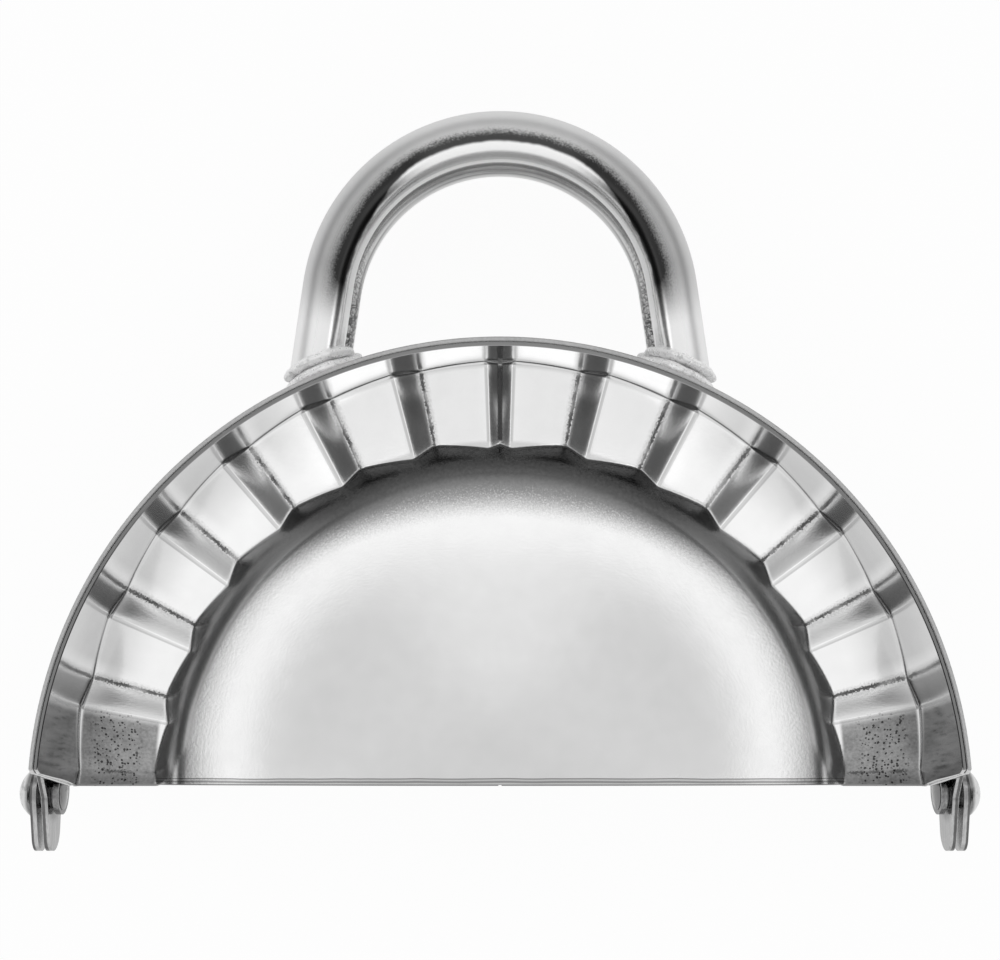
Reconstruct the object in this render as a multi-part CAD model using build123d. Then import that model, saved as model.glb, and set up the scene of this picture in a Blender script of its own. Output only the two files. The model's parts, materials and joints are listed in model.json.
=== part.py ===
from build123d import *
import math
import os

# A hinged half-moon ravioli mold, closed and lying flat.
# It stands on the cutting rim of its lower half, with the hinge along X,
# the handles towards +Y and the upper half on top. Each half is built in its
# own half frame first: X along the hinge, Y towards the handle, and Z counted
# outward from the parting plane. The lower half is the mirror image of the
# upper one, apart from its crimping pleats, which nest in those of the upper.

# Cutting wall
wall_depth = 15.0            # from the parting plane to the cutting rim
wall_inner_radius = 56.8     # inside of the shell flange, at the parting plane
wall_flare = 1.5             # how much the wall widens up to its rim
sheet_thickness = 0.55       # of the pressed shell: bowl, band and flange
ring_thickness = 0.55
ring_setback = 0.3           # the ring starts this far from the parting plane
nest_clearance = 0.05        # between pieces that are welded or pressed together
wall_end_cut = 4.6           # how far the rim stops short of the hinge line
wall_end_round = 1.2         # rounding of the rim's end corner
wall_end_land = 0.8          # square part of the wall end beside the parting plane

# Crimping band
pleat_count = 14             # over the half circle
pleat_height = 1.0           # rise and fall at the wall
steep_share = 0.307          # of a pleat's pitch that its steep side takes
crimp_gap = 0.5              # left for the dough between the two bands

# Bowl
bowl_radius = 46.4           # outside, at the parting plane
bowl_height = 13.4           # outside, at the crown
bowl_wall_angle = 58.0       # degrees from the parting plane
bowl_crown_radius = 105.0
bowl_shoulder_radius = 9.0
edge_relief = 0.2            # lean of the straight edges away from the hinge

# Handle
tube_diameter = 6.6
tube_wall = 0.8
tube_height = 5.8            # from the parting plane to the middle of the tube
handle_arch_radius = 22.73   # to the middle of the tube
handle_arch_centre = 63.5    # from the straight edge
leg_splay = 8.5              # degrees
saddle_thickness = 1.6
saddle_border = 2.0          # of the saddle, outside the tube
collar_thickness = 1.2
collar_border = 1.1         # of the collar, outside the tube

# Hinge
pivot_setback = 1.0          # from the straight edge to the rivet's axis
washer_gap_to_wall = 0.8     # from the wall at the parting plane to the burr washer
washer_thickness = 0.75
washer_diameter = 5.8
inner_bush_length = 0.35
outer_bush_length = 0.6
bush_diameter = 4.2
lug_thickness = 0.85
eye_radius = 3.6
tail_reach = 7.8             # from the rivet's axis to the end of the tail
tail_radius = 2.6
arm_low = 0.8                # edges of a lug's arm, from the parting plane
arm_high = 6.2
arm_step = 4.6               # how far a lug's bend runs along the wall
pad_length = 7.0
pad_overlap = 0.8            # of the pad and the bend
shank_diameter = 3.2
running_clearance = 0.05
head_diameter = 6.8
head_height = 2.15
tail_head_diameter = 4.6
tail_head_height = 0.3
swing_clearance = 0.5        # between a swinging tail and the other lug's bend

# Derived sizes
far = 3 * wall_inner_radius
pitch = 180.0 / pleat_count
steep_half = pitch * steep_share / 2
flange_outer = wall_inner_radius + sheet_thickness
ring_inner = flange_outer + nest_clearance
ring_outer = ring_inner + ring_thickness
saddle_inner = ring_outer + nest_clearance
saddle_outer = saddle_inner + saddle_thickness
collar_inner = saddle_outer + nest_clearance
collar_outer = collar_inner + collar_thickness
tube_radius = tube_diameter / 2
pivot_y = -pivot_setback
washer_start = ring_outer + washer_gap_to_wall
inner_bush_start = washer_start + washer_thickness + running_clearance
upper_lug_start = inner_bush_start + inner_bush_length + running_clearance
outer_bush_start = upper_lug_start + lug_thickness + running_clearance
lower_lug_start = outer_bush_start + outer_bush_length + running_clearance
head_start = lower_lug_start + lug_thickness + running_clearance
front_edge = pivot_y - tail_reach
back_edge = handle_arch_centre + handle_arch_radius + tube_radius
centre_y = (front_edge + back_edge) / 2


def flare_at(height):
    """How much wider the wall is at a height above the parting plane."""
    return wall_flare * height / wall_depth


def cone(radius, low, high):
    """A solid cone that widens as the wall does."""
    outline = Polyline((0, low), (radius + flare_at(low), low),
                       (radius + flare_at(high), high), (0, high), close=True)
    return revolve(Plane.XZ * make_face(outline), Axis.Z)


def cone_band(inner, outer, low, high):
    """A band between two such cones."""
    outline = Polyline((inner + flare_at(low), low), (outer + flare_at(low), low),
                       (outer + flare_at(high), high), (inner + flare_at(high), high), close=True)
    return revolve(Plane.XZ * make_face(outline), Axis.Z)


def side_profile(outline, start, length):
    """A Y-Z face extruded along X from start."""
    return Pos(start, 0, 0) * extrude(Plane.YZ * outline, amount=length)


def pleat_rays():
    """Angle and level, from -1 to 1, of each crease, from the hinge round to the hinge."""
    left = [(90.0, 0.0)]
    for number in range(pleat_count // 2):
        start = 90 + number * pitch
        left.append((start + steep_half, 1.0))
        left.append((start + pitch - steep_half, -1.0))
    left.append((180 + steep_half, 1.0))
    right = [(180 - angle, level) for angle, level in reversed(left[1:])]
    return right + left


def pleat_layer(side, low, high):
    """The space between the pleated surface moved up by low and by high."""
    reach = wall_inner_radius + wall_flare + 6
    rise = side * pleat_height * reach / wall_inner_radius
    rim = []
    for angle, level in pleat_rays():
        turn = math.radians(angle)
        rim.append(Vector(reach * math.cos(turn), reach * math.sin(turn), level * rise))
    apex = Vector(0, 0, 0)
    down, up = Vector(0, 0, low), Vector(0, 0, high)

    def panel(*corners):
        return Face(Wire.make_polygon(corners, close=True))

    faces = [panel(apex + down, apex + up, rim[0] + up, rim[0] + down),
             panel(apex + down, apex + up, rim[-1] + up, rim[-1] + down)]
    for first, second in zip(rim, rim[1:]):
        faces.append(panel(apex + up, first + up, second + up))
        faces.append(panel(apex + down, first + down, second + down))
        faces.append(panel(first + down, second + down, second + up, first + up))
    return Solid(Shell(faces))


def bowl_form(inset):
    """The bowl's outer form, moved in by inset all round."""
    slope = math.radians(bowl_wall_angle)
    foot = bowl_radius - inset / math.sin(slope)
    crown = bowl_height - inset
    crown_radius = bowl_crown_radius - inset
    start = -3.0
    # The straight wall meets the crown's circle where both have the same height.
    low, high = 0.0, foot
    for _ in range(60):
        middle = (low + high) / 2
        wall_height = (foot - middle) * math.tan(slope)
        crown_height = crown - crown_radius + math.sqrt(crown_radius ** 2 - middle ** 2)
        if wall_height > crown_height:
            low = middle
        else:
            high = middle
    meeting = (low, (foot - low) * math.tan(slope))
    wall_foot = (foot - start / math.tan(slope), start)
    half = meeting[0] / 2
    half_height = crown - crown_radius + math.sqrt(crown_radius ** 2 - half ** 2)
    outline = Line((0, start), wall_foot) + Line(wall_foot, meeting)
    outline += ThreePointArc(meeting, (half, half_height), (0, crown))
    outline += Line((0, crown), (0, start))
    face = make_face(outline)
    corner = face.vertices().sort_by_distance((meeting[0], meeting[1], 0))[0]
    face = fillet(corner, bowl_shoulder_radius - inset)
    return revolve(Plane.XZ * face, Axis.Z)


def straight_edge_cut():
    """What the straight edge of bowl and band leaves free beside the hinge."""
    top = wall_depth + 5
    outline = Polyline((-far, -5), (0, -5), (0, 0), (edge_relief * top, top), (-far, top), close=True)
    return side_profile(make_face(outline), -far, 2 * far)


def wall_end_keep():
    """The side view that the wall's ends are cut to, with a rounded corner at the rim."""
    low = -5.0
    rim_end = (wall_end_cut, wall_depth)
    outline = Polyline((0, low), (far, low), (far, wall_depth), rim_end, (0, wall_end_land), close=True)
    face = make_face(outline)
    corner = face.vertices().sort_by_distance((*rim_end, 0))[0]
    face = fillet(corner, wall_end_round)
    return side_profile(face, -far, 2 * far)


def cutter_ring():
    band = cone_band(ring_inner, ring_outer, ring_setback, wall_depth)
    return band & wall_end_keep()


def pleated_shell(side):
    """Bowl, crimping band and flange, pressed from one sheet."""
    under = pleat_layer(side, -20, crimp_gap / 2)
    hollow = bowl_form(sheet_thickness)
    band = pleat_layer(side, crimp_gap / 2, crimp_gap / 2 + sheet_thickness)
    band = (band & cone(flange_outer, -3, wall_depth)) - hollow
    bowl = bowl_form(0) - hollow - under
    pressed = (bowl + band) - straight_edge_cut()
    flange = cone_band(wall_inner_radius, flange_outer, -3, wall_depth) - under
    flange = flange & wall_end_keep()
    return pressed + flange


def leg_points():
    """Foot and top of the right leg, and its direction from foot to top."""
    splay = math.radians(leg_splay)
    top = Vector(handle_arch_radius * math.cos(splay),
                 handle_arch_centre + handle_arch_radius * math.sin(splay), tube_height)
    direction = Vector(-math.sin(splay), math.cos(splay), 0)
    drop = top.Y - wall_inner_radius * 0.8
    foot = top - direction * (drop / direction.Y)
    return foot, top, direction


def handle_sweep(radius):
    foot, top, direction = leg_points()
    crown = (0, handle_arch_centre + handle_arch_radius, tube_height)
    left_foot = (-foot.X, foot.Y, foot.Z)
    left_top = (-top.X, top.Y, top.Z)
    path = Line(foot, top) + ThreePointArc(top, crown, left_top) + Line(left_top, left_foot)
    section = Plane(origin=foot, z_dir=direction) * Circle(radius)
    return sweep(section, path=path)


def handle_tube():
    tube = handle_sweep(tube_radius) - handle_sweep(tube_radius - tube_wall)
    return tube - cone(collar_outer + nest_clearance, -5, wall_depth)


def foot_turn():
    """Angle, from X, of the place where the leg meets the collar."""
    foot, top, direction = leg_points()
    low, high = foot, top
    for _ in range(40):
        middle = (low + high) * 0.5
        if math.hypot(middle.X, middle.Y) < collar_outer:
            low = middle
        else:
            high = middle
    return math.degrees(math.atan2(low.Y, low.X))


def foot_pad(inner, thickness, border):
    """A round pad between leg and wall, curved and leaning as the wall is."""
    pad_height = tube_diameter + 2 * border
    band = cone_band(inner, inner + thickness, tube_height - pad_height, tube_height + pad_height)
    outline = Cylinder(pad_height / 2, far, align=(Align.CENTER, Align.CENTER, Align.MIN))
    return band & (Pos(0, 0, tube_height) * Rot(0, 0, foot_turn()) * Rot(0, 90, 0) * outline)


def hinge_lug(start, bend_start):
    """A bent strap on the right side: eye and tail, arm, bend and welded pad."""
    tail_y = pivot_y - tail_reach + tail_radius
    lean = math.asin((eye_radius - tail_radius) / (pivot_y - tail_y))
    eye_top = (pivot_y - eye_radius * math.sin(lean), eye_radius * math.cos(lean))
    tail_top = (tail_y - tail_radius * math.sin(lean), tail_radius * math.cos(lean))
    blade = make_face(Polyline(eye_top, tail_top, (tail_top[0], -tail_top[1]),
                               (eye_top[0], -eye_top[1]), close=True))
    arm = make_face(Polyline((pivot_y, eye_radius), (pivot_y, 0), (pivot_y + eye_radius, 0),
                             (bend_start, arm_low), (bend_start, arm_high), close=True))
    eye = Pos(pivot_y, 0) * Circle(eye_radius)
    tail = Pos(tail_y, 0) * Circle(tail_radius)
    plate = side_profile(eye + tail + blade + arm, start, lug_thickness)
    plate -= hinge_rod(shank_diameter / 2 + running_clearance, start - 1, start + lug_thickness + 1)

    pad_inner = ring_outer + nest_clearance
    bend_end = bend_start + arm_step
    middle_height = (arm_low + arm_high) / 2
    middle_radius = pad_inner + flare_at(middle_height) + lug_thickness / 2
    middle_x = math.sqrt(middle_radius ** 2 - bend_end ** 2)
    bend = make_face(Polyline((start, bend_start), (start + lug_thickness, bend_start),
                              (middle_x, bend_end), (middle_x - lug_thickness, bend_end), close=True))
    bend = Pos(0, 0, arm_low) * extrude(bend, amount=arm_high - arm_low)
    bend -= cone(pad_inner, -5, wall_depth)
    band = cone_band(pad_inner, pad_inner + lug_thickness, arm_low, arm_high)
    window = Pos(middle_x, bend_end - pad_overlap, 0) * Box(
        30, pad_length, 60, align=(Align.CENTER, Align.MIN, Align.CENTER))
    return plate + bend + (band & window)


def hinge_rod(radius, start, end):
    """A round rod along the rivet's axis on the right side."""
    return side_profile(Pos(pivot_y, 0) * Circle(radius), start, end - start)


def hinge_ring(diameter, start, length):
    hole = hinge_rod(shank_diameter / 2 + nest_clearance, start - 1, start + length + 1)
    return hinge_rod(diameter / 2, start, start + length) - hole


def dome(diameter, height):
    """A rivet head: a slice of a ball standing on the X-Y plane."""
    half = diameter / 2
    ball = (half ** 2 + height ** 2) / (2 * height)
    slab = Box(diameter * 2, diameter * 2, height, align=(Align.CENTER, Align.CENTER, Align.MIN))
    return (Pos(0, 0, height - ball) * Sphere(ball)) & slab


def hinge_rivet():
    shank = hinge_rod(shank_diameter / 2, washer_start - nest_clearance, head_start)
    head = Pos(head_start, pivot_y, 0) * Rot(0, 90, 0) * dome(head_diameter, head_height)
    tail_head = dome(tail_head_diameter, tail_head_height)
    tail_head = Pos(washer_start - nest_clearance, pivot_y, 0) * Rot(0, -90, 0) * tail_head
    return shank + head + tail_head


def placed(shape, upper):
    """A piece of a half frame, moved to its place in the closed mold."""
    if not upper:
        shape = mirror(shape, about=Plane.XY)
    return Pos(0, -centre_y, wall_depth) * shape


def save(name, shape):
    solids = shape.solids()
    solid = solids[0] if len(solids) == 1 else Compound(children=list(solids))
    export_step(solid, f"parts/{name}.step")


def save_pair(name, shape, upper):
    """The same piece on the right and, mirrored, on the left."""
    save(f"{name}_right", placed(shape, upper))
    save(f"{name}_left", placed(mirror(shape, about=Plane.YZ), upper))


os.makedirs("parts", exist_ok=True)
ring = cutter_ring()
tube = handle_tube()
saddle = foot_pad(saddle_inner, saddle_thickness, saddle_border)
collar = foot_pad(collar_inner, collar_thickness, collar_border)
eye_edge = pivot_y + eye_radius
upper_lug = hinge_lug(upper_lug_start, eye_edge + swing_clearance)
lower_lug = hinge_lug(lower_lug_start, pivot_y + tail_reach + swing_clearance)
for name, upper, lug in (("upper", True, upper_lug), ("lower", False, lower_lug)):
    save(f"{name}_cutter_ring", placed(ring, upper))
    save(f"{name}_pleated_shell", placed(pleated_shell(1 if upper else -1), upper))
    save(f"{name}_handle_tube", placed(tube, upper))
    save_pair(f"{name}_foot_saddle", saddle, upper)
    save_pair(f"{name}_foot_collar", collar, upper)
    save_pair(f"{name}_hinge_lug", lug, upper)
save_pair("hinge_rivet", hinge_rivet(), True)
save_pair("burr_washer", hinge_ring(washer_diameter, washer_start, washer_thickness), True)
save_pair("inner_bush", hinge_ring(bush_diameter, inner_bush_start, inner_bush_length), True)
save_pair("outer_bush", hinge_ring(bush_diameter, outer_bush_start, outer_bush_length), True)
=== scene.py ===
import bpy
import bmesh
import json
import math
import random
import numpy as np
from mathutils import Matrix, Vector


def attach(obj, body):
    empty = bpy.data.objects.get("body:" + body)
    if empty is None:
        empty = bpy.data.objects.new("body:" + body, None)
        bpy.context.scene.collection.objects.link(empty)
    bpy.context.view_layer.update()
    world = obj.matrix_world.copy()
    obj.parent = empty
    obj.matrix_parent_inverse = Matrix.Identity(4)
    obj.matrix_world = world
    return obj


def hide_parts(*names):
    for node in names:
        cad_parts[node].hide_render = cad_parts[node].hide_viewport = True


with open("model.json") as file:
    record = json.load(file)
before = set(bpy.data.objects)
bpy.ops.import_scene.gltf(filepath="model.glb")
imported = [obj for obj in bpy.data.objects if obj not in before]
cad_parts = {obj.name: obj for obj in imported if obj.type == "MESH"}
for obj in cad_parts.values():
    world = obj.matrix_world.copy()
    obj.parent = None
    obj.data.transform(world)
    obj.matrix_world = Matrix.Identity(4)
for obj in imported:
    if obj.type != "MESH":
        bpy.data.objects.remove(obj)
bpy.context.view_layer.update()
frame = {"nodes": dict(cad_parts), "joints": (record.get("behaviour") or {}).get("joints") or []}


# The camera looks straight down on the closed mold, as the photograph does,
# with the handles at the top of the picture and the hinge at the bottom.
# Its axis passes between the bowl and the handles, and the shift frames it.
hinge_joint = frame["joints"][0]
pivot = Vector(hinge_joint["pos_m"])
straight_edge = pivot.y + 0.001          # the rivets' axis lies 1 mm outside the straight edge
parting = pivot.z
camera_from_edge = 0.046
camera_above_parting = 0.219
pixels_per_metre = 7424                  # at the parting plane
picture_width, picture_height = 1000, 960
sensor_width = 36
axis_row = 443.5                         # picture row that the camera's axis meets
camera_data = bpy.data.cameras.new("camera")
camera = bpy.data.objects.new("camera", camera_data)
bpy.context.scene.collection.objects.link(camera)
camera.location = (0, straight_edge + camera_from_edge, parting + camera_above_parting)
camera_data.sensor_width = sensor_width
camera_data.lens = sensor_width * pixels_per_metre * camera_above_parting / picture_width
camera_data.shift_y = (axis_row - picture_height / 2) / picture_width
camera_data.clip_start = 0.01
bpy.context.scene.camera = camera
bpy.context.scene.view_settings.view_transform = "Standard"


# Pleated shells. Each half has one, pressed from thin polished steel: a deep bowl,
# the pleated band that crimps the dough, and a flange that stands up inside the
# cutting wall. The bands of the two halves nest in each other.

# Sizes are in millimetres in a half's own frame: X along the hinge, Y from the
# straight edge towards the handle, Z outward from the parting plane.
mm = 0.001
sheet = 0.55
wall_radius = 56.8                       # of the flange's foot, without its bend
wall_depth = 15.0
wall_flare = 1.5                         # how far the wall leans out over its whole depth
wall_end_cut = 4.6                       # how far the wall's ends are cut back at the rim
wall_end_round = 1.2                     # radius of the ends' corner at the rim
wall_end_land = 0.8                      # height over which the ends aren't cut back
pleat_pitch = 180 / 14                   # degrees, fourteen pleats round the half
pleat_height = 1.2                       # of a crease over the middle level, at the wall
pleat_steep = pleat_pitch * 0.307 / 2    # degrees from the middle of a steep side to its creases
steep_draw = 0.12                        # how far a pleat's steep side is drawn to an S
crease_round = 0.36                      # degrees either side of a crease
crimp_gap = 0.5                          # between the bands of the two halves
bowl_radius = 46.4
bowl_height = 13.4
bowl_wall_angle = 58.0                   # degrees from the parting plane
bowl_crown_radius = 105.0
edge_relief = 0.2                        # how far the bowl's edge leans back, for each mm of height
shoulder_blend = 2.7                     # width of the fillet between the bowl's crown and its wall
foot_blend = 0.25                        # width of the fillet between the bowl and the pleats
flange_bend = 0.25
edge_round = 0.12
same_point = 0.002                       # points closer together than this are one


def pleat_creases():
    """Angle in degrees and level from -1 to 1 of each crease, from the middle to the left end."""
    creases = [(90.0 - pleat_steep, -1.0)]
    for number in range(round(90 / pleat_pitch)):
        creases.append((90 + number * pleat_pitch + pleat_steep, 1.0))
        creases.append((90 + (number + 1) * pleat_pitch - pleat_steep, -1.0))
    return creases + [(180 + pleat_steep, 1.0)]


crease_angles, crease_levels = np.array(pleat_creases()).T


def pleat_level(angle):
    """The pleats' level at each angle: steep sides drawn to a soft S, creases rounded, sides mirrored."""
    offsets = np.linspace(-crease_round, crease_round, 13)
    total = 0
    for offset in offsets:
        aside = np.abs(angle - 90) + offset
        level = np.interp(90 + aside, crease_angles, crease_levels)
        on_steep = np.abs(aside - np.round(aside / pleat_pitch) * pleat_pitch) < pleat_steep
        drawn = (1 - steep_draw) * level + steep_draw * np.sin(level * math.pi / 2)
        total = total + np.where(on_steep, drawn, level)
    return total / len(offsets)


def blend_high(first, second, width):
    """The higher of two heights, with a fillet between them."""
    near = np.maximum(width - np.abs(first - second), 0) / width
    return np.maximum(first, second) + near ** 2 * width / 4


def pressed_height(radius, angle, side):
    """Height of the pressing's outer face, from the bowl's crown to the foot of the flange."""
    wave = side * pleat_height * radius / wall_radius * pleat_level(angle)
    band = wave + crimp_gap / 2 + sheet
    wall = (bowl_radius - radius) * math.tan(math.radians(bowl_wall_angle))
    crown = bowl_height - bowl_crown_radius + np.sqrt(bowl_crown_radius ** 2 - radius ** 2)
    bowl = -blend_high(-wall, -crown, shoulder_blend)
    return blend_high(bowl, band, foot_blend)


def wall_end(height):
    """How far the wall's end stands back from the straight edge: a slope, and an arc at the rim."""
    slope = wall_end_cut / (wall_depth - wall_end_land)
    straight = np.maximum(height - wall_end_land, 0) * slope
    lean = math.atan(slope)
    reach = wall_end_round * math.tan((math.pi / 2 - lean) / 2)
    start = wall_depth - reach * math.cos(lean)
    depth = np.clip(height - (wall_depth - wall_end_round), 0, wall_end_round)
    arc = wall_end_cut + reach - np.sqrt(wall_end_round ** 2 - depth ** 2)
    return np.where(height > start, np.maximum(arc, straight), straight)


crown_edge = edge_relief * bowl_height + edge_round
band_end = wall_radius - flange_bend


def shell_face(stage, angle, side):
    """Radius, height and cut-back of the outer face.

    Stage 0 to 1 runs over the bowl and the band, 1 to 2 round the bend, 2 to 3 up the flange.
    """
    radius = crown_edge + (band_end - crown_edge) * np.clip(stage, 0, 1)
    bend = math.pi / 2 * np.clip(stage - 1, 0, 1)
    foot = pressed_height(radius, angle, side) + flange_bend * (1 - np.cos(bend))
    height = foot + (wall_depth - edge_round - foot) * np.clip(stage - 2, 0, 1)
    radius = radius + np.sin(bend) * (flange_bend + wall_flare * height / wall_depth)
    back = np.sin(bend) ** 2
    cut = (1 - back) * edge_relief * np.maximum(height, 0) + back * wall_end(height)
    return radius, height, cut


def shell_point(stage, angle, side):
    """A point of the outer face, or a grid of them."""
    radius, height, _ = shell_face(stage, angle, side)
    turn = np.radians(angle)
    return np.stack([radius * np.cos(turn), radius * np.sin(turn), height], axis=-1)


def shell_stages():
    """Where the mesh has its rows: close together at the bowl's shoulder, its foot and the flange's bend."""
    radii = [crown_edge + step for step in (0, 0.25, 0.6, 1.1, 1.8, 2.8, 4.2, 6.0)]
    radii += list(np.linspace(11, 36, 14)) + list(np.linspace(37, 44, 15))
    radii += list(np.linspace(44.3, 47.3, 14)) + list(np.linspace(48.2, band_end - 0.5, 8))
    stages = [(radius - crown_edge) / (band_end - crown_edge) for radius in radii]
    return np.array(stages + list(np.linspace(1, 2, 8)) + list(np.linspace(2, 3, 15)[1:]))


def crease_columns():
    """Angles of the mesh's columns: close together at the creases, wide apart between them."""
    near = crease_round * 1.15
    columns = []
    for first, second in zip(crease_angles, crease_angles[1:]):
        columns += list(first + near * np.array([-1, -0.5, 0, 0.5]))
        count = 7 if second - first < pleat_pitch / 2 else 9
        columns += list(np.linspace(first + near, second - near, count)[:-1])
    left = [angle for angle in columns if 90.2 < angle < 180]
    return np.array([0.0] + [180 - angle for angle in reversed(left)] + [90.0] + left + [180.0])


def close_sheet(face, back, sides, ends):
    """A closed mesh between two grids of points, with rounded edges.

    sides and ends hold the outward directions at the first and last column and row,
    or None where the row is a single point.
    """
    mesh = bmesh.new()
    rows, columns = face.shape[:2]

    def place(points):
        return [mesh.verts.new(point) for point in points]

    front = [place(row) for row in face]
    rear = [place(row) for row in back]
    faces = []
    for row in range(rows - 1):
        for column in range(columns - 1):
            for grid in (front, rear):
                faces.append((grid[row][column], grid[row][column + 1],
                              grid[row + 1][column + 1], grid[row + 1][column]))
    corners = {}
    edges = [(np.s_[:, 0], [row[0] for row in front], [row[0] for row in rear], sides[0], ("side", 0)),
             (np.s_[:, -1], [row[-1] for row in front], [row[-1] for row in rear], sides[1], ("side", 1)),
             (np.s_[0, :], front[0], rear[0], ends[0], ("end", 0)),
             (np.s_[-1, :], front[-1], rear[-1], ends[1], ("end", 1))]
    for part, near, far, outward, key in edges:
        if outward is None:
            continue
        through = back[part] - face[part]
        through = through / np.linalg.norm(through, axis=-1, keepdims=True)
        first = place(face[part] + edge_round * (outward + through))
        second = place(back[part] + edge_round * (outward - through))
        for one, two in zip(range(len(near) - 1), range(1, len(near))):
            faces.append((near[one], near[two], first[two], first[one]))
            faces.append((first[one], first[two], second[two], second[one]))
            faces.append((second[one], second[two], far[two], far[one]))
        corners[key] = (first, second)
    for end, row in ((0, 0), (1, -1)):
        for side, column in ((0, 0), (1, -1)):
            if ("end", end) in corners and ("side", side) in corners:
                side_first, side_second = (line[row] for line in corners["side", side])
                end_first, end_second = (line[column] for line in corners["end", end])
                faces.append((front[row][column], side_first, end_first))
                faces.append((rear[row][column], side_second, end_second))
                faces.append((side_first, side_second, end_second, end_first))
    for corners_of_face in faces:
        mesh.faces.new(corners_of_face)
    return mesh


def finish_piece(mesh, name, upper, body, node, material, sharp=35):
    """Puts a mesh in its half's place, smooths it, gives it its finish, ties it to its body and hides the
    imported node that it replaces.

    Edges that turn by more than sharp degrees stay sharp.
    """
    bmesh.ops.remove_doubles(mesh, verts=mesh.verts, dist=same_point)
    bmesh.ops.dissolve_degenerate(mesh, edges=mesh.edges, dist=same_point / 4)
    outward = 1 if upper else -1
    for vert in mesh.verts:
        x, y, z = vert.co
        vert.co = (x * mm, straight_edge + y * mm, parting + outward * z * mm)
    bmesh.ops.recalc_face_normals(mesh, faces=mesh.faces)
    data = bpy.data.meshes.new(name)
    mesh.to_mesh(data)
    mesh.free()
    data.shade_smooth()
    data.set_sharp_from_angle(angle=math.radians(sharp))
    data.materials.append(material)
    piece = bpy.data.objects.new(name, data)
    bpy.context.scene.collection.objects.link(piece)
    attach(piece, body)
    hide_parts(node)


def node(tree, kind, **settings):
    """Adds a shader node with some of its settings."""
    new = tree.nodes.new("ShaderNode" + kind)
    for name, value in settings.items():
        setattr(new, name, value)
    return new


class Value:
    """A number or a vector in a shader. Arithmetic on numbers adds the math nodes that work it out."""

    def __init__(self, socket):
        self.socket = socket
        self.tree = socket.id_data

    def __add__(self, other):
        return calc("ADD", self, other)

    def __radd__(self, other):
        return calc("ADD", other, self)

    def __sub__(self, other):
        return calc("SUBTRACT", self, other)

    def __rsub__(self, other):
        return calc("SUBTRACT", other, self)

    def __mul__(self, other):
        return calc("MULTIPLY", self, other)

    def __truediv__(self, other):
        return calc("DIVIDE", self, other)

    def __mod__(self, other):
        return calc("MODULO", self, other)

    def __abs__(self):
        return calc("ABSOLUTE", self)


def feed(socket, source):
    """Links a socket to a value or to a node's output, or sets what it holds."""
    source = getattr(source, "socket", source)
    if hasattr(source, "is_linked"):
        socket.id_data.links.new(source, socket)
    else:
        socket.default_value = source


def calc(operation, *sources):
    """A math node's result. At least one of its sources is a Value."""
    tree = next(source.tree for source in sources if isinstance(source, Value))
    new = node(tree, "Math", operation=operation)
    for socket, source in zip(new.inputs, sources):
        feed(socket, source)
    return Value(new.outputs[0])


def highest(first, *others):
    """The greatest of some values."""
    for other in others:
        first = calc("MAXIMUM", first, other)
    return first


def lowest(first, second):
    """The lesser of two values."""
    return calc("MINIMUM", first, second)


def distance(across, along):
    """How far a point is from the origin."""
    return calc("SQRT", across * across + along * along)


def bearing(across, along):
    """Angle in degrees from the second direction towards the first."""
    return calc("DEGREES", calc("ARCTAN2", across, along))


def span(value, low, high, start=0.0, end=1.0):
    """A value mapped smoothly from one range to another and held at its ends."""
    new = node(value.tree, "MapRange", interpolation_type="SMOOTHSTEP")
    for socket, source in zip(new.inputs, (value, low, high, start, end)):
        feed(socket, source)
    return Value(new.outputs[0])


def half_frame(tree):
    """Millimetres from the middle of the straight edge: the vector, and X, Y and Z on their own."""
    moved = node(tree, "VectorMath", operation="SUBTRACT")
    feed(moved.inputs[0], node(tree, "TexCoord").outputs["Object"])
    moved.inputs[1].default_value = (0, straight_edge, parting)
    scaled = node(tree, "VectorMath", operation="SCALE")
    feed(scaled.inputs[0], moved.outputs[0])
    scaled.inputs["Scale"].default_value = 1 / mm
    parts = node(tree, "SeparateXYZ")
    feed(parts.inputs[0], scaled.outputs[0])
    return [Value(output) for output in (scaled.outputs[0], *parts.outputs)]


def grain(place, scale, detail=2.0, stretch=(1, 1, 1)):
    """Noise from 0 to 1, its features about 1 / scale millimetres long."""
    stretched = node(place.tree, "VectorMath", operation="MULTIPLY")
    feed(stretched.inputs[0], place)
    stretched.inputs[1].default_value = stretch
    noise = node(place.tree, "TexNoise")
    feed(noise.inputs["Vector"], stretched.outputs[0])
    noise.inputs["Scale"].default_value = scale
    noise.inputs["Detail"].default_value = detail
    return Value(noise.outputs["Fac"])


def relief(height, size, below=None):
    """A bump whose height of 1 stands for size millimetres."""
    bump = node(height.tree, "Bump")
    bump.inputs["Strength"].default_value = 1.0
    bump.inputs["Distance"].default_value = size * mm
    feed(bump.inputs["Height"], height)
    if below is not None:
        feed(bump.inputs["Normal"], below)
    return bump.outputs["Normal"]


def metal(name):
    """A metallic material: itself, its node tree and its main shader."""
    material = bpy.data.materials.new(name)
    material.use_nodes = True
    shader = material.node_tree.nodes["Principled BSDF"]
    shader.inputs["Metallic"].default_value = 1.0
    return material, material.node_tree, shader


def coat(shader, level, roughness, normal):
    """Gives a shader its level of grey, its roughness and its relief."""
    colour = node(level.tree, "CombineColor")
    for part in colour.inputs:
        feed(part, level)
    feed(shader.inputs["Base Color"], colour.outputs[0])
    feed(shader.inputs["Roughness"], roughness)
    feed(shader.inputs["Normal"], normal)


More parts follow.
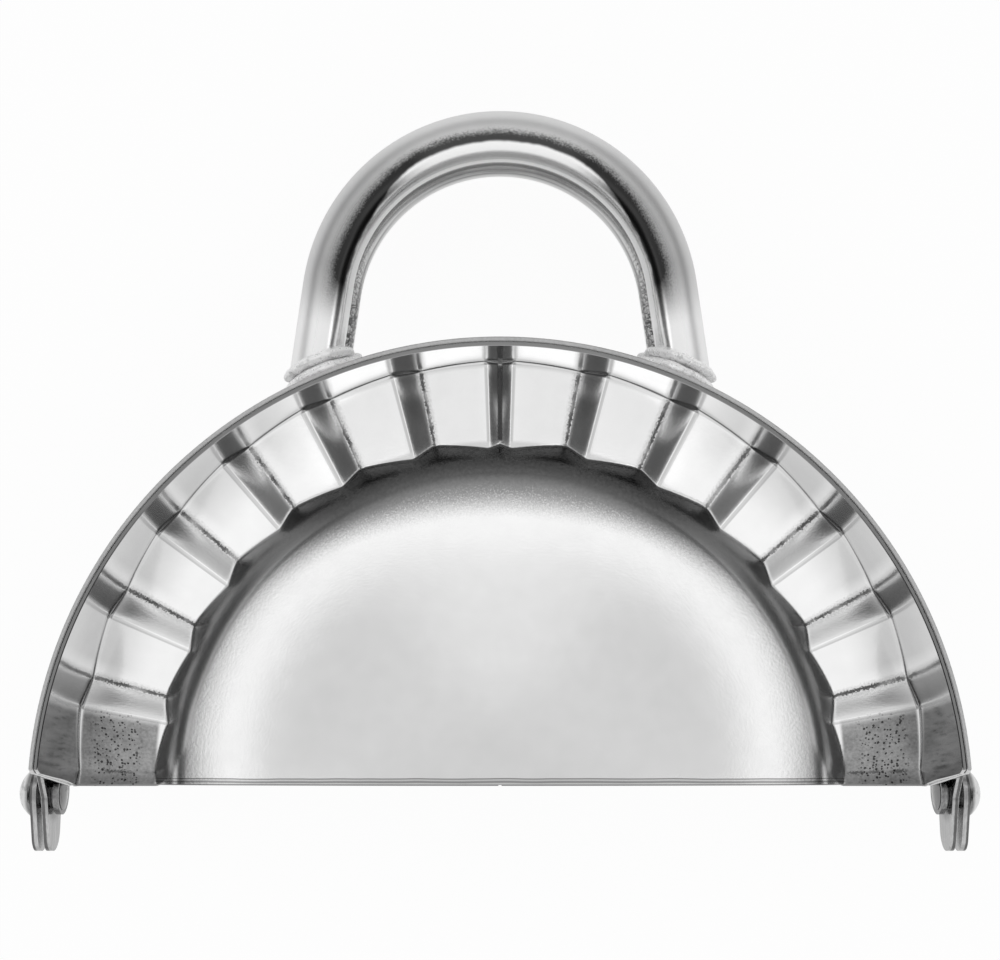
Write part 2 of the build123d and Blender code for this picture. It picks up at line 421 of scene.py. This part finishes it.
def pressed_steel_material():
    """Satin bowl and bright pleats, with painted highlights and painted shade in the recess, creases and
    edges, and pits on the last panels.

    Each darkening value, painted shade or a real mark, is 0 on clean steel and near 1 where it's dark. The
    strongest counts.
    """
    material, tree, shader = metal("pressed_steel")
    place, x, y, z = half_frame(tree)
    height = abs(z)
    radius = distance(x, y)
    turn = bearing(abs(x), y)                # 0 at the middle, 90 at the hinge
    bowl = span(radius, bowl_radius + 1.1, bowl_radius - 0.9)
    band = span(radius, bowl_radius - 0.4, bowl_radius + 0.2)
    band = band * span(radius, wall_radius + 0.1, wall_radius - 0.5)
    fine = grain(place, 2.6, 3.0)
    coarse = grain(place, 0.35, 2.0)
    brushed = grain(place, 1.0, 2.0, (0.25, 7.0, 7.0))
    wobble = (grain(place, 4.5, 2.0) - 0.5) * 1.1

    # Along the valleys' creases the steel is darker: a speckled dark line, with a soft painted shade either
    # side of it. Beside is the angle to the nearest crease.
    past_valley = turn + pleat_steep
    folded = calc("PINGPONG", past_valley, pleat_pitch)
    beside = lowest(folded, pleat_pitch - folded)
    on_ramp = span(past_valley % pleat_pitch, 2 * pleat_steep + 0.3, 2 * pleat_steep)
    crease_line = span(beside + wobble, 0.42, 0.14) * span(coarse, 0.3, 0.6, 0.5, 1.0)
    shade = span(beside + wobble, 1.1, 0.2) * 0.3
    valley_line_and_shade = highest(crease_line, shade) * band * span(turn, 4.0, 8.0)

    # The last panels, next to the hinge, are pitted and carry a mottled painted dark reflection, and the
    # flange beside them is darker in brushed streaks.
    near_hinge = span(turn, 90 - pleat_pitch * 0.91, 90 - pleat_pitch * 0.75)
    last = band * near_hinge
    last_panel_painted_dark = last * (0.34 + (fine * 0.3 + coarse * 0.3))
    hinge_end_wall_darker = near_hinge * span(radius, wall_radius, wall_radius + 0.2) * brushed * 0.4
    cells = node(tree, "TexVoronoi")
    feed(cells.inputs["Vector"], place)
    cells.inputs["Scale"].default_value = 2.5
    chance = node(tree, "SeparateColor")
    feed(chance.inputs[0], cells.outputs["Color"])
    pit_size = span(Value(chance.outputs[0]), 0.1, 1.0) * 0.42
    pits = span(Value(cells.outputs["Distance"]) - pit_size, 0.06, -0.06)
    pits = pits * last * span(radius, 47.8, 49.5) * span(radius, 56.0, 54.0)

    # The middle pleats' flats get a painted highlight; the other pleats get painted shade toward the wall,
    # less near their creases.
    painted_highlight = band * span(radius, 56.6, 55.9) * span(turn, 22.0, 34.0, 0.28, 0.0) * (1.0 - on_ramp * 1.5)
    wear_and_shade = span(radius, 49.0, 56.0) * span(turn, 20.0, 45.0, 0.0, 0.26)
    wear_and_shade = wear_and_shade * band * span(beside, 1.0, 3.0, 0.3, 1.0)
    level = (0.775 + (coarse - 0.5) * 0.06) * (1.0 + painted_highlight - wear_and_shade)

    # The ring round the bowl is darkened with painted shade, broken by lighter flecks on its inner border.
    # It ends where the pleats rise from the bowl's side.
    recess_start = span(turn, 5.0, 62.0, 36.2, 39.4)
    recess_shade = span(radius + wobble * 1.5, recess_start, recess_start + 3.8)
    bowl_side = (bowl_radius - radius) * math.tan(math.radians(bowl_wall_angle))
    recess_shade = recess_shade * span(height - bowl_side, 0.35, 0.1)
    recess_shade = recess_shade * (fine * 0.1 + span(radius, 38.5, 44.0, 0.56, 0.86))
    recess_shade = recess_shade * span(turn, 28.0, 60.0, 1.0, 0.3)
    sparks = span(grain(place, 5.0, 2.0), 0.5, 0.75) * span(radius, 41.5, 39.0)
    recess_shade = recess_shade * (1.0 - sparks * 0.5)
    # Painted shade along the flange's foot, stronger on the steep sides, and a painted dark line down the
    # middle crease.
    flange_foot_shade = span(radius, 56.45, 56.65) * span(radius, 57.0, 56.85) * (0.22 + on_ramp * 0.35)
    middle_crease_shade = band * span(turn, 0.5, 0.2) * 0.9

    # The sheet's edges are sheared. Along the straight one, painted edge shade: a narrow
    # strip with lines along it and a dark border.
    from_edge = y - height * edge_relief
    sheared = highest(span(from_edge, 0.28, 0.12), span(height, wall_depth - 0.2, wall_depth - 0.05)) * 0.7
    across_strip = from_edge + (grain(place, 0.12, 2.0) - 0.5) * 0.3
    strip = span(abs(across_strip - 0.48), 0.2, 0.05, 0.22, 0.6) * span(across_strip, 0.95, 0.85)
    border = span(abs(across_strip - 0.88), 0.12, 0.04, 0.0, 0.62)
    strip = highest(strip, border) * span(radius, 56.5, 56.2)

    # The bowl's inside is left satin from the press, with none of the outside's marks and painted shade.
    normal_parts = node(tree, "SeparateXYZ")
    feed(normal_parts.inputs[0], node(tree, "TexCoord").outputs["Normal"])
    outward = Value(normal_parts.outputs[2]) * calc("SIGN", z)
    within = span(outward, -0.1, -0.25) * span(radius, 45.0, 44.0)

    shade_and_dark_marks = highest(recess_shade, flange_foot_shade, middle_crease_shade, last_panel_painted_dark, hinge_end_wall_darker, valley_line_and_shade * 0.85, sheared, strip)
    level = level * (1.0 - shade_and_dark_marks * (1.0 - within)) * (1.0 - pits * 0.8)
    rough = bowl * 0.07 + 0.1 + within * 0.2 + fine * 0.05 + highest(valley_line_and_shade, last) * 0.25
    normal = relief(fine * (0.35 + bowl * 0.65), 0.008)
    normal = relief(brushed, 0.002, normal)
    normal = relief(pits * -1.0, 0.05, normal)
    coat(shader, level, rough, relief(coarse, 0.006, normal))
    return material


pressed_steel = pressed_steel_material()


def pleated_shell(half, side):
    """One half's pressing. Side is 1 for the upper half's pleats, and -1 for those that fit into them."""
    stages = shell_stages()[:, None]
    columns = crease_columns()[None, :]
    radius, _, cut = shell_face(stages, np.zeros((1, 1)), side)
    limit = np.degrees(np.arcsin(np.clip((cut + edge_round) / radius, 0, 1)))
    angle = np.clip(columns, limit, 180 - limit)
    stage = np.broadcast_to(stages, angle.shape)
    face = shell_point(stage, angle, side)
    along = shell_point(stage + 1e-4, angle, side) - shell_point(stage - 1e-4, angle, side)
    around = shell_point(stage, angle + 0.01, side) - shell_point(stage, angle - 0.01, side)
    along[-1] = shell_point(stage[-1], angle[-1], side) - shell_point(stage[-1] - 1e-3, angle[-1], side)
    along[0] = shell_point(stage[0] + 1e-3, angle[0], side) - shell_point(stage[0], angle[0], side)
    normal = np.cross(along, around)
    normal /= np.linalg.norm(normal, axis=-1, keepdims=True)
    back = face - normal * sheet
    away = np.array([0.0, -1.0, 0.0])
    mesh = close_sheet(face, back, (away, away), (None, np.array([0.0, 0.0, 1.0])))
    finish_piece(mesh, f"{half}_shell_pressing", half == "upper", f"{half}_half",
                 f"{half}_pleated_shell", pressed_steel)


pleated_shell("upper", 1)
pleated_shell("lower", -1)


# Cutting rings. A band of polished steel welded round each shell's flange; its
# outer edge is the round cutter. It flares towards the rim and its ends are cut
# back, with a rounded corner, so that the halves can open flat.
welded_gap = 0.05                        # between layers that are welded together
ring_inner = wall_radius + sheet + welded_gap
ring_thickness = 0.55
ring_setback = 0.3


def wall_steel_material():
    """Polished sheet with faint rolling lines, and a rough, darker sheared edge at the rim."""
    material, tree, shader = metal("wall_steel")
    place, _, _, z = half_frame(tree)
    fine = grain(place, 3.0, 3.0)
    rolled = grain(place, 1.2, 3.0, (0.12, 0.12, 5.0))
    rim = span(abs(z), wall_depth - 0.16, wall_depth - 0.04)
    level = (0.58 + rolled * 0.16) * (1.0 - rim * (0.1 + fine * 0.3))
    normal = relief(fine * rim, 0.06, relief(rolled, 0.01))
    coat(shader, level, 0.17 + rim * 0.3, normal)
    return material


wall_steel = wall_steel_material()


def ring_point(height, angle, radius):
    """A point of a ring that has this radius at the parting plane, or a grid of them."""
    turn = np.radians(angle)
    radius = radius + wall_flare * height / wall_depth
    return np.stack([radius * np.cos(turn), radius * np.sin(turn), height], axis=-1)


for half in ("upper", "lower"):
    heights = np.linspace(ring_setback + edge_round, wall_depth - edge_round, 24)[:, None]
    cut = wall_end(heights) + edge_round
    limit = np.degrees(np.arcsin(cut / (ring_inner + wall_flare * heights / wall_depth)))
    angle = np.clip(np.linspace(0, 180, 241)[None, :], limit, 180 - limit)
    height = np.broadcast_to(heights, angle.shape)
    face = ring_point(height, angle, ring_inner)
    back = ring_point(height, angle, ring_inner + ring_thickness)
    away, up = np.array([0.0, -1.0, 0.0]), np.array([0.0, 0.0, 1.0])
    mesh = close_sheet(face, back, (away, away), (-up, up))
    finish_piece(mesh, f"{half}_ring_band", half == "upper", f"{half}_half",
                 f"{half}_cutter_ring", wall_steel)


# Handles. Each is one length of steel tube bent to an arch, with nearly straight
# legs that splay a little. The bend has drawn fine wrinkles on its inner side,
# and each leg's end is cut to the curve of the pad that it is welded to.
tube_radius = 3.3
tube_height = 5.8
arch_radius = 22.73
arch_centre = 63.5
leg_splay = math.radians(8.5)
saddle_inner = ring_inner + ring_thickness + welded_gap
saddle_thickness = 1.8
collar_inner = saddle_inner + saddle_thickness + welded_gap
collar_thickness = 1.5
collar_outer = collar_inner + collar_thickness


def tube_steel_material():
    """Bright tube, painted lighter down its legs, with a painted dark reflection round the bend, painted
    shade in lines on its side towards the other half, and wrinkles inside the bend with painted shade in
    their creases.
    """
    material, tree, shader = metal("tube_steel")
    place, x, y, z = half_frame(tree)
    aside, beyond, height = abs(x), y - arch_centre, abs(z)
    fine = grain(place, 2.4, 3.0)
    coarse = grain(place, 0.5, 2.0)

    # Where a point lies on the tube: across is -1 on the bend's inner side and 1 on its outer side.
    from_x = aside - arch_radius * math.cos(leg_splay)
    from_y = y - (arch_centre + arch_radius * math.sin(leg_splay))
    on_arch = distance(x, beyond) - arch_radius
    on_leg = from_x * math.cos(leg_splay) + from_y * math.sin(leg_splay)
    down_leg = from_x * math.sin(leg_splay) - from_y * math.cos(leg_splay)
    is_leg = calc("GREATER_THAN", down_leg, 0.0)
    across = (on_arch * (1.0 - is_leg) + on_leg * is_leg) / tube_radius
    round_bend = bearing(aside, beyond)      # 0 at the top of the arch

    # The painted dark reflection on the half's outer side is a dark line with a painted haze on its inner
    # side.
    # Both move inward along the bend and fade out on the legs.
    streak_edge = span(round_bend, 25.0, 62.0, -0.33, -0.74) + (coarse - 0.5) * 0.1
    inward = across - streak_edge
    ragged = inward + (grain(place, 5.0, 2.0) - 0.5) * 0.5
    starts = span(inward, -0.08, 0.06)
    painted_streak = starts * span(ragged, span(round_bend, 20.0, 60.0, 0.55, 0.85), 0.2)
    painted_haze = starts * span(inward, span(round_bend, 20.0, 60.0, 1.2, 2.0), 0.25)
    painted_haze = painted_haze * (span(round_bend, 20.0, 60.0, 0.4, 0.66) + span(round_bend, 66.0, 90.0, 0.0, 0.2))
    fade = span(down_leg, 6.0, -3.5) * calc("GREATER_THAN", height, tube_height)
    painted_streak = lowest((painted_streak * 0.5 + painted_haze) * fade, 0.95)

    # Painted shade on the side towards the other half, broken into lines that run along the tube.
    along_tube = node(tree, "CombineXYZ")
    feed(along_tube.inputs[0], across * 9.0)
    feed(along_tube.inputs[1], round_bend * 0.012)
    feed(along_tube.inputs[2], z * 0.4)
    lines = span(grain(Value(along_tube.outputs[0]), 1.0, 3.0), 0.35, 0.65)
    lines = span(height, tube_height - 0.2, tube_height - 1.4) * (0.02 + lines * 0.6)

    # Wrinkles, inside the bend only, with painted shade in their creases.
    inner_side = span(across, -0.35, -0.75)
    bent = span(round_bend, 55.0, 95.0) * span(height, tube_height + 0.2, tube_height - 0.8)
    wrinkled = inner_side * bent
    wrinkles = abs(grain(place, 0.9, 3.0, (0.8, 1.6, 0.8)) - 0.5)
    shade_and_dark_marks = highest(painted_streak, lines, wrinkled * span(wrinkles, 0.07, 0.02, 0.1, 0.85))
    # The tube is painted lighter down its legs than round the arch, and darkened where the painted reflection
    # and shade lie.
    level = span(down_leg, 0.0, 6.0, 0.78, 0.96) * (1.0 - shade_and_dark_marks)
    normal = relief(fine, 0.003, relief(wrinkles * wrinkled, 1.3))
    rough = span(across, -0.1, 0.4, 0.16, 0.42) + fine * 0.06
    coat(shader, level, rough, relief(coarse, 0.012, normal))
    return material


tube_steel = tube_steel_material()


def leg_top(side):
    """Where a leg meets the arch, and the leg's direction downward."""
    top = np.array([side * arch_radius * math.cos(leg_splay),
                    arch_centre + arch_radius * math.sin(leg_splay), tube_height])
    return top, np.array([side * math.sin(leg_splay), -math.cos(leg_splay), 0.0])


def drop_to_pad(point, direction):
    """How far a point of the tube is from the pad's face, along the leg. It's found by halving."""
    low, high = 0.0, 30.0
    for _ in range(40):
        middle = (low + high) / 2
        place = point + direction * middle
        if math.hypot(place[0], place[1]) > collar_outer + wall_flare * place[2] / wall_depth:
            low = middle
        else:
            high = middle
    return low


def skin(mesh, loops):
    """Faces between each closed loop of points and the next."""
    for first, second in zip(loops, loops[1:]):
        for here in range(len(first)):
            there = (here + 1) % len(first)
            mesh.faces.new((first[here], first[there], second[there], second[here]))


def handle_tube(half):
    """One half's handle: rings of points up the right leg, round the arch and down the left leg."""
    up = np.array([0, 0, 1])
    around = np.radians(np.linspace(0, 360, 56, endpoint=False))

    def circle(centre, outward):
        return [centre + tube_radius * (math.cos(turn) * outward + math.sin(turn) * up) for turn in around]

    def leg(side):
        """The leg's rings from the pad up to the arch. The lowest lies on the pad's curve."""
        top, down = leg_top(side)
        points = circle(top, np.array([-down[1] * side, down[0] * side, 0.0]))
        drops = [drop_to_pad(point, down) for point in points]
        return [[point + down * drop * share for point, drop in zip(points, drops)]
                for share in np.linspace(1, 0, 14)]

    rings = leg(1)
    for turn in np.linspace(leg_splay, math.pi - leg_splay, 90)[1:-1]:
        outward = np.array([math.cos(turn), math.sin(turn), 0.0])
        rings.append(circle(np.array([0, arch_centre, tube_height]) + arch_radius * outward, outward))
    rings += reversed(leg(-1))
    mesh = bmesh.new()
    loops = [[mesh.verts.new(point) for point in ring] for ring in rings]
    skin(mesh, loops)
    mesh.faces.new(loops[0])
    mesh.faces.new(loops[-1])
    finish_piece(mesh, f"{half}_handle_arch", half == "upper", f"{half}_half",
                 f"{half}_handle_tube", tube_steel)


for half in ("upper", "lower"):
    handle_tube(half)


# Foot pads. Two round layers of weld metal join each leg to the wall: a saddle
# spread on the wall's curve and a smaller collar on it, round the tube's foot.
# Both were ground and blasted, which left them soft, lumpy and nearly white.
saddle_radius = tube_radius + 2.3
collar_radius = tube_radius + 1.7


def weld_steel_material():
    """Blasted weld metal: bright, half matt, with small pits and crevices."""
    material, tree, shader = metal("weld_steel")
    place = half_frame(tree)[0]
    fine = grain(place, 2.2, 4.0)
    coarse = grain(place, 0.7, 2.0)
    level = 1.0 - span(coarse, 0.62, 0.75) * 0.3 - span(fine, 0.56, 0.68) * 0.26
    shader.inputs["Metallic"].default_value = 0.45
    coat(shader, level, 0.2 + fine * 0.2, relief(coarse, 0.3, relief(fine, 0.11)))
    return material


weld_steel = weld_steel_material()


def foot_angle():
    """Angle, from X, of the place where a leg's middle line meets the collar."""
    top, down = leg_top(1)
    foot = top + down * drop_to_pad(top, down)
    return math.atan2(foot[1], foot[0])


def weld_pad(half, side, part, inner, thickness, radius, lumps):
    """A lens of weld metal on the wall's curve: flat in the middle, round at its border, a little lumpy."""
    steps = 72
    flat_share = 0.72
    turn = foot_angle() if side > 0 else math.pi - foot_angle()
    random.seed(f"{half} {part} {side}")
    waves = [(number, random.uniform(0, 6.28), random.uniform(0.4, 1)) for number in (2, 3, 5, 7, 9)]
    mesh = bmesh.new()

    def ring(share, depth):
        points = []
        for step in range(steps):
            around = math.tau * step / steps
            lump = sum(size * math.sin(number * around + start) for number, start, size in waves)
            reach = radius * share * (1 + lumps * 0.35 * lump * share)
            across, height = reach * math.cos(around), tube_height + reach * math.sin(around)
            rise = depth * (1 + lumps * lump * (1 - share) * share * 2)
            out = inner + wall_flare * height / wall_depth + rise
            at = turn + across / out
            points.append(mesh.verts.new((out * math.cos(at), out * math.sin(at), height)))
        return points

    shares = list(np.linspace(0, flat_share, 9))
    shares += list(flat_share + (1 - flat_share) * np.sin(np.linspace(0.15, math.pi / 2, 9)))
    outer_face = [(share, 1) for share in shares]
    inner_face = [(share, -1) for share in reversed(shares[:-1])]
    loops = []
    for share, face in outer_face + inner_face:
        drop = max(share - flat_share, 0) / (1 - flat_share)
        loops.append(ring(share, thickness * (0.5 + 0.5 * face * math.sqrt(max(1 - drop ** 2, 0)))))
    skin(mesh, loops)
    which = "right" if side > 0 else "left"
    finish_piece(mesh, f"{half}_{part}_{which}_weld", half == "upper", f"{half}_half",
                 f"{half}_{part}_{which}", weld_steel, sharp=80)


for half in ("upper", "lower"):
    for side in (1, -1):
        weld_pad(half, side, "foot_saddle", saddle_inner, saddle_thickness, saddle_radius, 0.03)
        weld_pad(half, side, "foot_collar", collar_inner, collar_thickness, collar_radius, 0.05)


# Rivets. Each side turns on one steel rivet: a low domed head outside, a plain
# shank, and a small upset head inside. The dome is polished, with a soft rim.
shank_radius = 1.6
head_radius = 3.4
head_height = 2.15
head_base = 62.4                         # from the mold's middle to the underside of the dome
shank_start = 58.7                       # and to the inner end of the shank
tail_head_radius = 2.3
tail_head_height = 0.3
pivot_setback = 1.0                      # from the straight edge out to the rivets' axis


def rivet_steel_material():
    """Polished wire steel with turning rings round the rivet's axis and a few scratches, with painted shade
    at the dome's rim and over the shank and inner head.
    """
    material, tree, shader = metal("rivet_steel")
    place, x, y, z = half_frame(tree)
    from_axis = distance(y + pivot_setback, z)
    wear_and_shade = span(grain(place, 0.8, 3.0), 0.5, 0.7)
    # Painted shade: dark at the dome's rim, and over everything inside the head, the shank and the inner
    # head.
    border = span(from_axis, head_radius - 0.7, head_radius - 0.15)
    border = border + span(abs(x), head_base - 0.1, head_base - 0.5)
    level = (0.74 - wear_and_shade * 0.25) * (1.0 - border * 0.7)
    turned = relief(calc("SINE", from_axis * 40.0), 0.002)
    coat(shader, level, 0.08 + wear_and_shade * 0.15, relief(grain(place, 3.0, 3.0), 0.012, turned))
    return material


rivet_steel = rivet_steel_material()


def rivet_profile():
    """Distance along the axis from the mold's middle, and radius, from inner head to outer head."""
    ball = (head_radius ** 2 + head_height ** 2) / (2 * head_height)
    profile = [(shank_start - tail_head_height, 0.0)]
    for share in (0.35, 0.7, 0.9, 1.0):
        depth = tail_head_height * math.cos(share * math.pi / 2)
        profile.append((shank_start - depth, tail_head_radius * share))
    profile += [(shank_start + 0.01, shank_radius), (head_base, shank_radius)]
    profile += [(head_base, head_radius - 0.25), (head_base + 0.08, head_radius - 0.07)]
    start = math.asin((head_radius - 0.02) / ball)
    for share in np.linspace(1, 0, 24):
        angle = start * share
        profile.append((head_base + head_height - ball * (1 - math.cos(angle)), ball * math.sin(angle)))
    return profile


def rivet(side):
    """The rivet on the right side, 1, or on the left, -1. It rides with the lower half."""
    steps = 64
    mesh = bmesh.new()
    loops = []
    for along, radius in rivet_profile():
        turns = [math.tau * step / steps for step in range(steps)]
        loops.append([mesh.verts.new((side * along, -pivot_setback + radius * math.cos(turn),
                                      radius * math.sin(turn))) for turn in turns])
    skin(mesh, loops)
    which = "right" if side > 0 else "left"
    finish_piece(mesh, f"rivet_{which}_turned", True, "lower_half", f"hinge_rivet_{which}",
                 rivet_steel)


rivet(1)
rivet(-1)


# Hinge lugs, bushes and washers. The lugs are stamped from flat steel strip and
# spot-welded to the walls; bushes and washers keep them apart. They are shown by
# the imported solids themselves, with their stamped edges softened.
inner_lug_face = 60.8                    # outer face of the lug next to the wall, from the middle
outer_lug_face = 62.35                   # and of the lug under the rivet's head


def hinge_steel_material():
    """Stamped strip: grey, with grinding lines along it, darker in a band by each lug's outer face and round
    the rivet.
    """
    material, tree, shader = metal("hinge_steel")
    place, x, y, z = half_frame(tree)
    fine = grain(place, 2.6, 3.0)
    ground = grain(place, 1.1, 2.0, (4.0, 0.2, 4.0))
    near_rivet_darker = span(distance(y + pivot_setback, z), 4.4, 2.6) * (0.4 + fine)
    aside = abs(x) + fine * 0.1
    lug_border_darker = span(aside, inner_lug_face - 0.5, inner_lug_face - 0.35)
    lug_border_darker = lug_border_darker * span(aside, inner_lug_face + 0.04, inner_lug_face - 0.06)
    lug_border_darker = lug_border_darker + span(aside, outer_lug_face - 0.35, outer_lug_face - 0.2)
    level = (0.42 + (ground - 0.5) * 0.34) * (1.0 - highest(near_rivet_darker * 0.62, lug_border_darker * 0.72))
    coat(shader, level, 0.14 + fine * 0.12, relief(fine, 0.016, relief(ground, 0.006)))
    return material


hinge_steel = hinge_steel_material()
node_steel = {"lug": hinge_steel, "shell": pressed_steel, "ring": wall_steel, "tube": tube_steel,
              "bush": hinge_steel, "washer": hinge_steel, "saddle": weld_steel, "collar": weld_steel}
for name, piece in frame["nodes"].items():
    kind = [word for word in node_steel if word in name]
    piece.data.materials.clear()
    piece.data.materials.append(node_steel[kind[0]] if kind else rivet_steel)
    if "lug" in name or "bush" in name or "washer" in name:
        edges = piece.modifiers.new("soft_edges", "BEVEL")
        edges.width = 0.35 * mm
        edges.segments = 3
        edges.limit_method = "ANGLE"
        edges.angle_limit = math.radians(40)
        edges.harden_normals = True


# Floor. A plain white sheet that the closed mold lies on. It's made of matt board;
# the camera sees it evenly white, with only a trace of the mold's shadow, and
# from below it's clear, so that the under side can be looked at.
floor_reach = 0.9
floor_level = -0.2 * mm                  # just under the closed mold
floor_mesh = bpy.data.meshes.new("floor")
floor_mesh.from_pydata([(x * floor_reach, y * floor_reach, floor_level)
                        for x, y in ((-1, -1), (1, -1), (1, 1), (-1, 1))], [], [(0, 1, 2, 3)])
floor = bpy.data.objects.new("floor", floor_mesh)
bpy.context.scene.collection.objects.link(floor)
white_board = bpy.data.materials.new("white_board")
white_board.use_nodes = True
tree = white_board.node_tree
board = tree.nodes["Principled BSDF"]
board.inputs["Base Color"].default_value = (0.9, 0.9, 0.9, 1)
board.inputs["Roughness"].default_value = 0.9
glow = node(tree, "Emission")
seen_by = node(tree, "LightPath").outputs
mirrored = calc("MAXIMUM", Value(seen_by["Is Glossy Ray"]), seen_by["Is Transmission Ray"]) * 0.5
evenly = node(tree, "MixShader")
feed(evenly.inputs[0], highest(Value(seen_by["Is Camera Ray"]) * 0.95, mirrored))
feed(evenly.inputs[1], board.outputs[0])
feed(evenly.inputs[2], glow.outputs[0])
clear = node(tree, "BsdfTransparent")
one_sided = node(tree, "MixShader")
feed(one_sided.inputs[0], node(tree, "NewGeometry").outputs["Backfacing"])
feed(one_sided.inputs[1], evenly.outputs[0])
feed(one_sided.inputs[2], clear.outputs[0])
feed(tree.nodes["Material Output"].inputs["Surface"], one_sided.outputs[0])
floor_mesh.materials.append(white_board)


# World. A white studio with dark flags, the same on the left and the right. Above
# the mold stand a bright ring and, lower, a dark ring, which give polished steel
# its light and dark parts. Over the front there is no dark ring.
world = bpy.data.worlds.new("studio")
bpy.context.scene.world = world
world.use_nodes = True
tree = world.node_tree
direction = node(tree, "SeparateXYZ")
feed(direction.inputs[0], node(tree, "TexCoord").outputs["Generated"])
toward_x, toward_y, upward = (Value(output) for output in direction.outputs)
zenith = calc("DEGREES", calc("ARCCOSINE", upward))
northward = toward_y / highest(distance(toward_x, toward_y), 0.001)


def sky(angle, stops):
    """Light by angle from the zenith: a ramp with soft steps between levels."""
    ramp = node(angle.tree, "ValToRGB")
    ramp.color_ramp.interpolation = "EASE"
    feed(ramp.inputs[0], angle / 180.0)
    elements = ramp.color_ramp.elements
    while len(elements) > 1:
        elements.remove(elements[-1])
    for number, (place, level) in enumerate(stops):
        stop = elements[0] if number == 0 else elements.new(place / 180)
        stop.position = place / 180
        stop.color = (level, level, level, 1)
    return ramp.outputs[0]


# The rings stand lower at the sides than over the handles.
lowered_by = 12.4                        # degrees, at the sides
sideways = calc("SQRT", highest(1.0 - northward, 0.0))
ring_angle = zenith - sideways * lowered_by * span(zenith, 12.0, 40.0)
over_handles = sky(ring_angle, [
    (0, 0.8), (12, 0.97), (30, 1.0), (34, 1.28), (38, 1.28), (44, 1.0), (51, 0.85), (56, 0.5), (74, 0.45),
    (82, 1.0)])
over_sides = sky(ring_angle, [
    (0, 0.78), (14, 0.83), (19, 0.82), (23.5, 0.78), (28, 0.78), (31, 1.05), (34, 1.38), (38.5, 1.38),
    (42, 0.6), (45.5, 0.13), (63, 0.07), (70, 1.0)])
over_corners = sky(zenith, [
    (0, 0.78), (12, 0.78), (28.5, 0.74), (31.5, 1.2), (47, 1.2), (52, 0.3), (57, 0.1), (75, 0.07), (83, 1.0)])
over_front = sky(zenith, [(0, 0.78), (20, 0.78), (32, 1.15), (60, 1.1), (90, 1.0)])


def blend(first, second, share):
    """A mix of two colours. In a Mix node they're the sockets 6 and 7, and their mix is output 2."""
    mixed = node(share.tree, "Mix", data_type="RGBA")
    feed(mixed.inputs["Factor"], share)
    feed(mixed.inputs[6], first)
    feed(mixed.inputs[7], second)
    return mixed.outputs[2]


studio = blend(over_sides, over_handles, span(northward, 0.6, 1.0))
studio = blend(over_corners, studio, span(northward, -0.45, -0.3))
studio = blend(over_front, studio, span(northward, -0.9, -0.65))
seen = Value(node(tree, "LightPath").outputs["Is Camera Ray"])
feed(tree.nodes["Background"].inputs["Color"], blend(studio, (1, 1, 1, 1), seen))
tree.nodes["Background"].inputs["Strength"].default_value = 1.0
